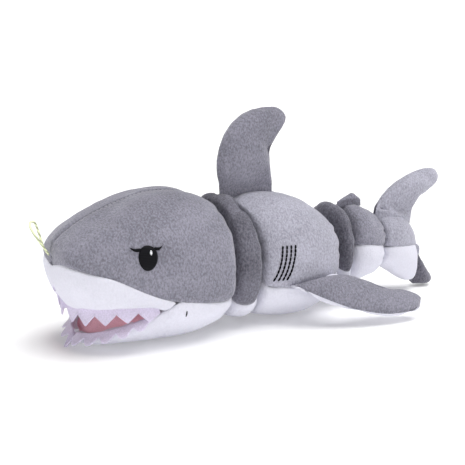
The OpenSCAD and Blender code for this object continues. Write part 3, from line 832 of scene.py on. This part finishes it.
def thicken(obj, thickness, smooth=True):
    modifier = obj.modifiers.new("thickness", "SOLIDIFY")
    modifier.thickness = thickness
    modifier.offset = 0
    bake(obj)
    if smooth:
        subdivided(obj, 1)
    else:
        modifier = obj.modifiers.new("edge", "BEVEL")
        modifier.width = 0.25 * MM
        modifier.segments = 2
        bake(obj)


def tooth_strip(name, lip, count, depth, blunt, path, ends=0.02):
    """A strip of felt cut into teeth. path(p, out, t, reach) places a point t of the way down a column.
    ends is the share of the lip left free at each end. Returns the piece, its flat area and its length."""
    per_tooth, rows = 10, 6
    fine = 200
    lip = resampled(lip, fine)
    first = round(fine * ends)
    lip = resampled(lip[first:fine + 1 - first], count * per_tooth)
    band, tooth = depth
    bm = bmesh.new()
    grid = []
    for i, p in enumerate(lip):
        saw = 1 - abs(2 * (i % per_tooth) / per_tooth - 1)
        tip = min(1.0, saw / (1 - blunt))
        mood = 1 + 0.14 * noise.noise(Vector((i // per_tooth * 3.7, 2.0, 5.0)))
        side = 1 - 0.3 * abs(2 * i / (len(lip) - 1) - 1) ** 3
        reach = (band + tooth * tip * mood) * side
        grid.append([bm.verts.new(path(p, outward(p), j / rows, reach)) for j in range(-2, rows + 1)])
    for a, b in zip(grid, grid[1:]):
        for j in range(len(a) - 1):
            bm.faces.new((a[j], a[j + 1], b[j + 1], b[j]))
    obj = to_object(bm, name)
    area = surface_area(obj)
    length = sum((b - a).length for a, b in zip(lip, lip[1:]))
    thicken(obj, FELT_T, smooth=blunt > 0.2)
    ripple(obj, lambda p: 0.2 * MM * noise.noise(p * 200))
    return obj, area, length


def upper_tooth_path(p, out, t, reach):
    """Hangs straight down from behind the lip."""
    if t < 0:
        return p - DOWN * (-t * 7 * MM) - out * 1.6 * MM
    return p + DOWN * (reach * t) - out * (0.9 - 1.4 * t * t) * MM


def lower_tooth_path(p, out, t, reach):
    """Comes up inside the lip and folds outwards over it."""
    if t < 0:
        return p + DOWN * (-t * 7 * MM) - out * 1.8 * MM
    bend = min(1.0, t * 3)
    way = out * (0.55 + 0.3 * bend) + DOWN * (0.75 * bend)
    return p - DOWN * 0.9 * MM + way * reach * t + out * 0.6 * MM


def mouth_sheet(name, lip, arch, tuck):
    """Pink fabric across the mouth, arched up or down, drawn together at the back. Returns its area too."""
    n, cols = 48, 16
    line = resampled(lip, n)
    meet = (UPPER_LIP[0].z + LOWER_LIP[0].z) / 2
    bm = bmesh.new()
    grid = []
    for i in range(n // 2):
        right, left = line[i], line[n - i]
        open_share = min(1.0, i / 8)
        row = []
        for j in range(cols + 1):
            x = 2 * j / cols - 1
            p = right.lerp(left, j / cols)
            p.z += tuck * (1 if abs(x) < 1 else 0.6)
            inner = p.z + arch * (1 - x ** 4) * min(1.0, (n // 2 - i) / 5)
            back = meet + tuck
            share = open_share if abs(x) < 1 else 1.0
            p.z = back + (inner - back) * share
            p.x *= 0.985
            row.append(bm.verts.new(p))
        grid.append(row)
    for a, b in zip(grid, grid[1:]):
        for j in range(cols):
            bm.faces.new((a[j], a[j + 1], b[j + 1], b[j]))
    obj = to_object(bm, name)
    area = surface_area(obj)
    thicken(obj, 1.0 * MM)
    ripple(obj, lambda p: 0.35 * MM * noise.noise(p * 130))
    return obj, area


# ---------- the loop ----------
LOOP_ROUTE = [[1.2, -179.2, 69.8], [3.5, -181, 72], [6, -184.5, 77], [7, -188.5, 83], [6, -191.5, 88.5],
              [3, -192, 92], [-1, -190, 93.5], [-4, -186.5, 92], [-5, -184, 86], [-4, -182.5, 79.5],
              [-2.2, -181, 73.5], [-1.2, -179.4, 70.5]]
LOOP_D = 1.6 * MM


def add_loop():
    """The loop for the hang tag, sewn into the nose."""
    curve = bpy.data.curves.new("hang_loop_cord", "CURVE")
    curve.dimensions = "3D"
    curve.bevel_depth = LOOP_D / 2
    curve.bevel_resolution = 3
    curve.use_fill_caps = True
    spline = curve.splines.new("BEZIER")
    spline.bezier_points.add(len(LOOP_ROUTE) - 1)
    spline.resolution_u = 6
    for point, place in zip(spline.bezier_points, LOOP_ROUTE):
        point.co = Vector(place) * MM
        point.handle_left_type = point.handle_right_type = "AUTO"
    obj = bpy.data.objects.new("hang_loop_cord", curve)
    SCENE.collection.objects.link(obj)
    curve.materials.append(MATERIALS["loop_green"])
    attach(obj, "head")
    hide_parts("hang_loop")


add_camera()
add_loop()

# ---------- sewing the skins ----------
HEAD_C = box_centre("head_panel_left", "head_panel_right") - Vector((0, 0, 0.012))
TORSO_C = box_centre("torso_back_left", "torso_back_right", "torso_belly_panel")
SEGMENT_C = {part: box_centre(part + "_back_panel", part + "_belly_panel")
             for part in ("neck", "waist", "hip", "tail")}

skins = {
    "head_left": skin("skin_head_left", "head_panel_left", HEAD_C),
    "head_right": skin("skin_head_right", "head_panel_right", HEAD_C),
    "upper_jaw": skin("skin_upper_jaw", "upper_jaw_panel", HEAD_C),
    "lower": lower_skin("skin_jaw_and_throat"),
}


def add_segment(part):
    for face in ("back", "belly"):
        skins[f"{part}_{face}"] = skin(f"skin_{part}_{face}", f"{part}_{face}_panel", SEGMENT_C[part])


add_segment("neck")
for side, _ in SIDES:
    skins["torso_" + side] = skin("skin_torso_" + side, "torso_back_" + side, TORSO_C)
skins["torso_belly"] = skin("skin_torso_belly", "torso_belly_panel", TORSO_C)
for part in ("waist", "hip", "tail"):
    add_segment(part)

FIN_PANELS = {
    "dorsal_fin": ("left", "right"),
    "pectoral_left": ("top", "underside"),
    "pectoral_right": ("top", "underside"),
    "upper_lobe": ("left", "right"),
    "lower_lobe": ("left", "right"),
}
fins = {}
for fin, panels in FIN_PANELS.items():
    for panel in panels:
        node = f"{fin}_{panel}"
        fins[node] = skin("skin_" + node, node, box_centre(fin + "_stuffing"))


def head_reach(p):
    """Panels of the head meet closely, except at the mouth's corners, where the lips are sewn together."""
    corner = abs(p.x) > 38 * MM and -117 * MM < p.y < -102 * MM
    return 6.5 * MM if corner else PANEL_REACH


def body_reach(_):
    return PANEL_REACH


HEAD_SEWN = sew([skins[k] for k in ("head_left", "head_right", "upper_jaw", "lower")], HEAD_C, head_reach)
sew([skins["torso_left"], skins["torso_right"], skins["torso_belly"]], TORSO_C, body_reach)
for part, centre in SEGMENT_C.items():
    sew([skins[part + "_back"], skins[part + "_belly"]], centre, body_reach)

# ---------- filling ----------
inflate(list(skins.values()), SWELL)
for name, piece in fins.items():
    if name.startswith("pectoral"):
        lift_front_seam(piece, 1 if "left" in name else -1)
undersides = [piece for name, piece in fins.items() if "underside" in name]
inflate([piece for piece in fins.values() if piece not in undersides], 3.0 * MM, 9.0, 0.04)
inflate(undersides, 5.0 * MM, 12.0, 0.06)

HEAD_PARTS, NECK_PARTS = ("head_left", "head_right", "lower"), ("neck_back", "neck_belly")
TORSO_PARTS, WAIST_PARTS = ("torso_left", "torso_right", "torso_belly"), ("waist_back", "waist_belly")
HIP_PARTS, TAIL_PARTS = ("hip_back", "hip_belly"), ("tail_back", "tail_belly")
for crease, before, span_before, after, span_after in (
    (HEAD_CREASE, HEAD_PARTS, 20, NECK_PARTS, 12), (NECK_CREASE, NECK_PARTS, 12, TORSO_PARTS, 20),
    (WAIST_CREASE, TORSO_PARTS, 18, WAIST_PARTS, 9), (HIP_CREASE, WAIST_PARTS, 9, HIP_PARTS, 13),
    (TAIL_CREASE, HIP_PARTS, 13, TAIL_PARTS, 12),
):
    for parts, span in ((before, span_before), (after, span_after)):
        for part in parts:
            close_crease(skins[part], crease, span * MM)
raise_top(skins["neck_back"], HEAD_CREASE, NECK_CREASE, 5.5 * MM)
raise_top(skins["waist_back"], WAIST_CREASE, HIP_CREASE, 2.0 * MM)

UPPER_LIP = smoothed(resampled(lip_of(skins["upper_jaw"]), 60))
LOWER_LIP = smoothed(resampled(lip_of(skins["lower"]), 60))

# ---------- folds that only one piece has ----------
PUCKER_TIP = Vector((0.0230, -0.0270, 0.0900))
PUCKER_ARMS = [Vector((0.002, -0.0300, 0.1010)), Vector((0.0260, -0.0090, 0.0960))]
DORSAL_NOTCH = Vector((0, 0.003, 0.1325))


def torso_folds(p):
    """The V-shaped pucker on the top of the torso."""
    return sum(dent(p, PUCKER_TIP, arm, 3.4 * MM, 3.6 * MM) for arm in PUCKER_ARMS)


def dorsal_folds(p):
    """The crease that runs into the fin from the notch in its trailing edge."""
    end = DORSAL_NOTCH + mm(0, -17, 12)
    return dent(Vector((0, p.y, p.z)), DORSAL_NOTCH, end, 3.2 * MM, 2.2 * MM)


# ---------- finishing the skins ----------
for side, _ in SIDES:
    fill = ["head_stuffing"] if side == "left" else []
    finish_skin(skins["head_" + side], "grey_plush", None, ["head_panel_" + side] + fill, [HEAD_CREASE],
                blend=across("neck", "head", HEAD_CREASE, -16))
finish_skin(skins["upper_jaw"], "white_plush", "head", ["upper_jaw_panel"])
finish_skin(skins["lower"], "white_plush", None,
            ["lower_jaw_panel", "throat_panel", "jaw_hinge_gusset", "jaw_stuffing"], [HEAD_CREASE],
            blend=("jaw", "head", (0, -0.114, 0.01), (0, -0.100, 0.01)))
for part, slot, creases, bend in (
    ("neck", "dark_plush", [HEAD_CREASE, NECK_CREASE], across(TORSO, "neck", NECK_CREASE, -14)),
    ("waist", "dark_plush", [WAIST_CREASE, HIP_CREASE], across(TORSO, "waist", WAIST_CREASE, 9)),
    ("hip", "grey_plush", [HIP_CREASE, TAIL_CREASE], across("waist", "hip", HIP_CREASE, 12)),
    ("tail", "light_plush", [TAIL_CREASE], across("hip", "tail", TAIL_CREASE, 9)),
):
    finish_skin(skins[part + "_back"], slot, None, [part + "_back_panel", part + "_stuffing"], creases,
                blend=bend)
    finish_skin(skins[part + "_belly"], "white_plush", None, [part + "_belly_panel"], creases, blend=bend)
for side, _ in SIDES:
    fill = ["torso_stuffing"] if side == "left" else []
    finish_skin(skins["torso_" + side], "light_plush", TORSO, ["torso_back_" + side] + fill,
                [NECK_CREASE, WAIST_CREASE], extra=torso_folds)
finish_skin(skins["torso_belly"], "white_plush", TORSO, ["torso_belly_panel"], [NECK_CREASE, WAIST_CREASE])

# ---------- fins ----------
# The seam line of each fin's root, and the way its fabric runs on into the body
FIN_ROOTS = {
    "dorsal": (mm(0, -42, 104.8), mm(0, 5, 104.8), mm(0, 0, -7)),
    "upper_lobe": (mm(0, 109, 76), mm(0, 149, 65.2), mm(0, -1.5, -8)),
    "lower_lobe": (mm(0, 154.5, 3.2), mm(0, 158, 34), mm(0, -4, 3)),
    "pectoral_left": (mm(48.6, -6, 33), mm(45.4, 34, 36.5), mm(-7, 0, 0)),
}
FIN_ROOTS["pectoral_right"] = tuple(flipped(v) for v in FIN_ROOTS["pectoral_left"])
DORSAL_ROOT_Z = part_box("dorsal_fin_left")[0].z


def flare(obj, root, half, reach):
    """Widens a fin sideways towards its root, where it runs into the body."""
    for v in obj.data.vertices:
        on, t = intersect_point_line(v.co, root[0], root[1])
        away = max(0.0, 1 - (v.co - on).length / reach)
        inside = max(0.0, min(t, 1 - t)) ** 0.5
        side = -1 if v.co.x < 0 else 1
        v.co.x = side * max(abs(v.co.x), half * away * away * 2 * inside)


for side, way in SIDES:
    fill = ["dorsal_fin_stuffing"] if side == "left" else []
    finish_skin(fins["dorsal_fin_" + side], "grey_plush", None, ["dorsal_fin_" + side] + fill,
                root=FIN_ROOTS["dorsal"], extra=dorsal_folds,
                blend=(TORSO, "dorsal_fin", (0, 0, DORSAL_ROOT_Z - 0.002), (0, 0, DORSAL_ROOT_Z + 0.010)))
    for face, slot in (("top", "grey_plush"), ("underside", "white_plush")):
        fill = [f"pectoral_{side}_stuffing"] if face == "top" else []
        finish_skin(fins[f"pectoral_{side}_{face}"], slot, None, [f"pectoral_{side}_{face}"] + fill,
                    root=FIN_ROOTS["pectoral_" + side],
                    blend=(TORSO, "pectoral_" + side, (0.045 * way, 0, 0.035), (0.055 * way, 0, 0.035)))
    for lobe, slot in (("upper", "light_plush"), ("lower", "dark_plush")):
        fill = [f"{lobe}_lobe_stuffing"] if side == "left" else []
        piece = fins[f"{lobe}_lobe_{side}"]
        if lobe == "upper":
            flare(piece, FIN_ROOTS["upper_lobe"], 5.5 * MM, 12 * MM)
        finish_skin(piece, slot, "tail", [f"{lobe}_lobe_{side}"] + fill, root=FIN_ROOTS[lobe + "_lobe"])

# The second dorsal fin is wide at its foot and leans back
second = soft_copy("skin_second_dorsal_fin", "second_dorsal_fin", 2, 0.3 * MM, 0.8 * MM)
second_low, second_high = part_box("second_dorsal_fin")
second_y = (second_low.y + second_high.y) / 2
for v in second.data.vertices:
    up = max(0.0, (v.co.z - second_low.z) / (second_high.z - second_low.z))
    v.co.y = second_y + (v.co.y - second_y) * (1.55 - 1.05 * up) + (3.0 * up - 1.5) * MM
    v.co.z -= 4.5 * MM if up < 0.15 else 0.5 * MM
small_piece(second, "grey_plush", "hip", "second_dorsal_fin")

# ---------- mouth ----------
roof, roof_area = mouth_sheet("mouth_roof", UPPER_LIP, 7 * MM, 1.2 * MM)
floor_sheet, floor_area = mouth_sheet("mouth_floor", LOWER_LIP, -3.2 * MM, -1.0 * MM)
small_piece(roof, "pink_fleece", "head", "palate_lining")
small_piece(floor_sheet, "pink_fleece", "jaw", "mouth_floor_lining")
for sheet_obj, flat_area in ((roof, roof_area), (floor_sheet, floor_area)):
    wide = sheet_obj.dimensions.x
    max(sheet_obj.dimensions.y, 1.02 * flat_area / wide)

upper_felt, upper_area, upper_length = tooth_strip(
    "felt_teeth_upper", UPPER_LIP, 13, (4.5 * MM, 8.0 * MM), 0.04, upper_tooth_path, 0.012)
lower_felt, lower_area, lower_length = tooth_strip(
    "felt_teeth_lower", LOWER_LIP, 11, (4.0 * MM, 6.0 * MM), 0.3, lower_tooth_path, 0.06)
small_piece(upper_felt, "felt_lilac", "head", "upper_teeth")
small_piece(lower_felt, "felt_lilac", "jaw", "lower_teeth")

# ---------- creases ----------
for name, above, below, crease in (
    ("head_crease_gather", "neck", "head", HEAD_CREASE), ("neck_crease_gather", TORSO, "neck", NECK_CREASE),
    ("waist_crease_gather", TORSO, "waist", WAIST_CREASE), ("hip_crease_gather", "waist", "hip", HIP_CREASE),
    ("tail_crease_gather", "hip", "tail", TAIL_CREASE),
):
    way = -1 if below in ("head", "neck") else 1
    gather = soft_copy("folds_" + name, name, 2, 0.5 * MM)
    slot = "grey_plush" if below == "tail" else "dark_plush"
    small_piece(gather, slot, None, name,
                blend=(above, below, (0, crease[0] - way * 0.002, 0.05), (0, crease[0] + way * 0.002, 0.05)))

# ---------- embroidery ----------
HEAD_SKIN = skin_tree(skins["head_left"], skins["head_right"])
TORSO_SKIN = skin_tree(skins["torso_left"], skins["torso_right"])
LOWER_SKIN = skin_tree(skins["lower"])
EYE_LOW, EYE_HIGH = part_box("eye_left")
EYE_Y, EYE_Z = (EYE_LOW.y + EYE_HIGH.y) / 2, (EYE_LOW.z + EYE_HIGH.z) / 2
EYE_W, EYE_H = (EYE_HIGH.y - EYE_LOW.y) / 2, (EYE_HIGH.z - EYE_LOW.z) / 2


def eye_outline(a):
    """An egg with its narrow end down."""
    s = math.sin(a)
    return EYE_Y + EYE_W * math.cos(a) * (0.96 + 0.05 * s), EYE_Z + EYE_H * s


def lash_outline(way):
    """A flick that is thick at the eye and thin at its tip, as a closed outline. The rear one is shorter."""
    root_y, root_z = EYE_Y + way * EYE_W * 0.62, EYE_Z + EYE_H * 0.74
    length = (7.6 if way < 0 else 6.4) * MM

    def outline(a):
        along = 0.5 - 0.5 * math.cos(a)
        across = math.sin(a) * 1.5 * MM * (1 - along) ** 0.6
        y = root_y + way * along * length
        z = root_z - 0.9 * MM * math.sin(along * 2.6) + 2.0 * MM * along ** 3 + across
        return y, z

    return outline


def highlight_outline(a):
    return EYE_Y + 0.25 * EYE_W + 0.95 * MM * math.cos(a), EYE_Z + 0.42 * EYE_H + 1.8 * MM * math.sin(a)


def gill_line(k, v):
    """One of four lines behind the neck, curving forward at the bottom, at v from 0 to 1."""
    return (-12.5 + 3.5 * k - 6.5 * v * v) * MM, (65 - 27 * v) * MM


for side, way in SIDES:
    eye = patch("eye_" + side + "_embroidery", HEAD_SKIN, way, eye_outline, 1.5 * MM)
    small_piece(eye, "black_thread", "head", "eye_" + side)
shines = [patch("shine", HEAD_SKIN, way, highlight_outline, 0.7 * MM, 4, 1.35 * MM) for way in (1, -1)]
small_piece(joined("eye_shine_embroidery", shines), "white_thread", "head", "eye_highlights")
lashes = [patch("lash", HEAD_SKIN, way, lash_outline(end), 0.8 * MM, 4) for way in (1, -1) for end in (1, -1)]
small_piece(joined("eyelash_embroidery", lashes), "black_thread", "head", "eyelashes")

gills = bmesh.new()
for way in (1, -1):
    for k in range(4):
        route = [on_skin(TORSO_SKIN, *gill_line(k, v / 12), way, 0.25 * MM) for v in range(13)]
        stitched_line(gills, route, 0.75 * MM, 3.0 * MM, 0.15 * MM)
small_piece(to_object(gills, "gill_embroidery"), "black_thread", TORSO, "gill_stitches")

tacks = bmesh.new()
TACK_LOW, TACK_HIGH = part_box("mouth_corner_tacks")
for way in (1, -1):
    y = (TACK_LOW.y + TACK_HIGH.y) / 2
    route = [on_skin(LOWER_SKIN, y, TACK_LOW.z + share * (TACK_HIGH.z - TACK_LOW.z), way, 0.2 * MM)
             for share in (0, 0.5, 1)]
    tube_mesh(tacks, route, 0.5 * MM)
small_piece(to_object(tacks, "mouth_tack_stitches"), "black_thread", "head", "mouth_corner_tacks")

# Seam stitches along the top of the head, each a short slanting bar; their dark plush colour is painted
# shade, standing for the small dents the stitches pull into the seam
STITCHES, STITCH_START, STITCH_PITCH = 34, -170, 3.2
STITCH_ACROSS = (0.2, 1.1, 1.9, 2.6)
seam = bmesh.new()
for k in range(STITCHES):
    y = (STITCH_START + STITCH_PITCH * k) * MM
    row = []
    for x in STITCH_ACROSS:
        hit = HEAD_SKIN.ray_cast(Vector((x * MM, y + x * 0.25 * MM, 0.2)), DOWN)[0]
        if hit:
            row.append(hit + Vector((0, 0, 0.05 * MM)))
    if len(row) == len(STITCH_ACROSS):
        tube_mesh(seam, row, 0.28 * MM, 6)
# The stitch bars get the dark plush colour as painted shade of the dents along the seam
small_piece(to_object(seam, "head_seam_stitches_painted_shade"), "dark_plush", "head")

# The squeaker's own CAD solids stay, in plastic
for name, slot in (("squeaker_bulb", "bulb_plastic"), ("squeaker_reed", "bulb_plastic"),
                   ("squeaker_plug", "white_plastic")):
    NODES[name].data.materials.clear()
    NODES[name].data.materials.append(MATERIALS[slot])


# ---------- floor, light ----------
def add_stage():
    """A pale floor, and a low white screen all round it."""
    bm = bmesh.new()
    bmesh.ops.create_circle(bm, cap_ends=True, segments=STAGE_SIDES, radius=STAGE_R)
    floor = to_object(bm, "floor", smooth=False)
    material, tree, shader = new_material("floor")
    mottle = noise_node(tree, object_coords(tree), 2)
    tone = ramp(tree, mottle, [(0.3, (0.92, 0.92, 0.92)), (0.7, (0.94, 0.94, 0.94))])
    tree.links.new(tone, shader.inputs["Base Color"])
    shader.inputs["Roughness"].default_value = 0.95
    shader.inputs["Specular IOR Level"].default_value = 0.1
    shader.inputs["Emission Color"].default_value = (1, 1, 1, 1)
    shader.inputs["Emission Strength"].default_value = 0.14
    floor.data.materials.append(material)
    bm = bmesh.new()
    angles = [2 * math.pi * k / STAGE_SIDES for k in range(STAGE_SIDES)]
    foot, top = [[bm.verts.new((STAGE_R * math.cos(a), STAGE_R * math.sin(a), z)) for a in angles]
                 for z in (SCREEN_FOOT, SCREEN_TOP)]
    for k in range(STAGE_SIDES):
        nxt = (k + 1) % STAGE_SIDES
        bm.faces.new((foot[k], top[k], top[nxt], foot[nxt]))
    screen = to_object(bm, "screen")
    material, tree, shader = new_material("screen")
    shader.inputs["Emission Color"].default_value = (1, 1, 1, 1)
    shader.inputs["Emission Strength"].default_value = 1.0
    screen.data.materials.append(material)


def add_area(name, place, target, size, power):
    light = bpy.data.lights.new(name, "AREA")
    light.shape = "DISK"
    light.size = size
    light.energy = power
    obj = bpy.data.objects.new(name, light)
    obj.location = place
    obj.rotation_mode = "QUATERNION"
    obj.rotation_quaternion = (Vector(target) - Vector(place)).to_track_quat("-Z", "Y")
    SCENE.collection.objects.link(obj)


def add_lights():
    world = bpy.data.worlds.new("studio")
    SCENE.world = world
    world.use_nodes = True
    background = world.node_tree.nodes["Background"]
    background.inputs["Color"].default_value = (1, 1, 1, 1)
    background.inputs["Strength"].default_value = 0.06
    sun = bpy.data.objects.new("overhead", bpy.data.lights.new("overhead", "SUN"))
    sun.data.energy = 3.1
    sun.data.angle = math.radians(50)
    sun.rotation_euler = (math.radians(-14), math.radians(8), 0)
    SCENE.collection.objects.link(sun)
    add_area("front", (0.9, -0.9, 0.6), (0, -0.05, 0.05), 0.8, 0.5)
    SCENE.view_settings.view_transform = "Standard"


add_stage()
add_lights()
